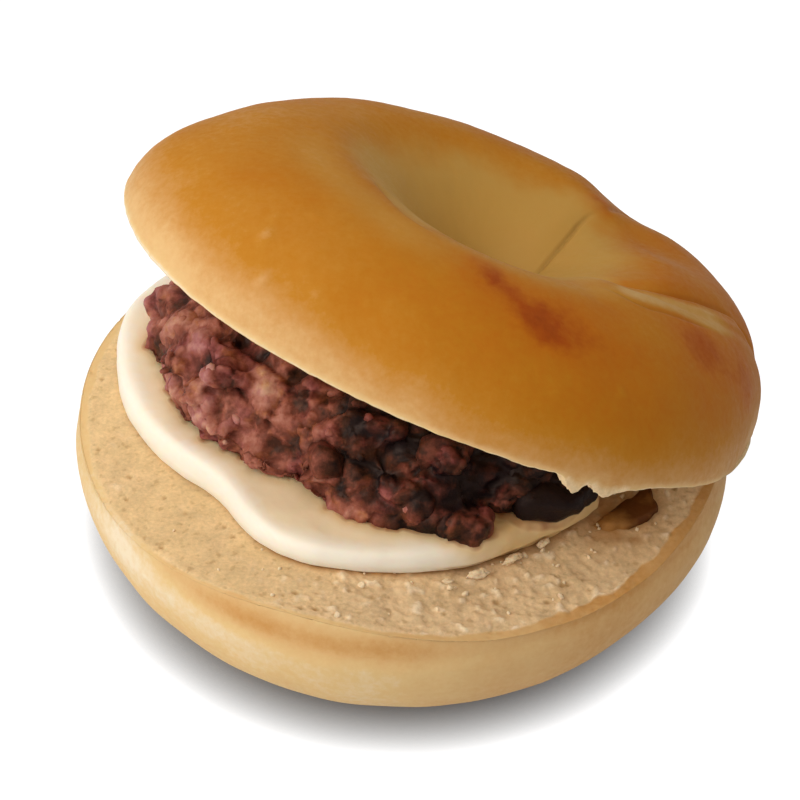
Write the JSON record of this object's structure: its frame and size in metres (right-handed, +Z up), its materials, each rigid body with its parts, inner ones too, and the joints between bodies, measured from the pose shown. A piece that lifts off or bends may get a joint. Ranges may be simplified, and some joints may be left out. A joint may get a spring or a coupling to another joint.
{
  "type": "bagel sandwich",
  "caption": "Plain ring bagel cut through its middle and filled with cream and sweet bean paste, its upper half resting on top at a slant.",
  "frame": {"origin": "on the table, under the middle of the whole sandwich's bounding box", "axes": "+Z up from the table, -Y towards the front where the filling shows, +X to the right"},
  "size_m": [0.1052, 0.1018, 0.072],
  "materials": {
    "bread_base": "pale baked bread: thin matt crust outside, open tan crumb on the cut face",
    "cream": "smooth whipped cream cheese, soft satin sheen",
    "bean_paste": "moist lumpy bean paste with whole beans, glossy in places",
    "bean_skin": "moist brown bean skin",
    "bread_lid": "golden brown boiled and baked crust with a soft sheen, pale crumb on the cut face"
  },
  "bodies": {
    "root": {"bagel_base": "bread_base", "cream_layer": "cream", "bean_paste": "bean_paste", "bean_scrap": "bean_skin", "bagel_lid": "bread_lid"}
  },
  "joints": []
}
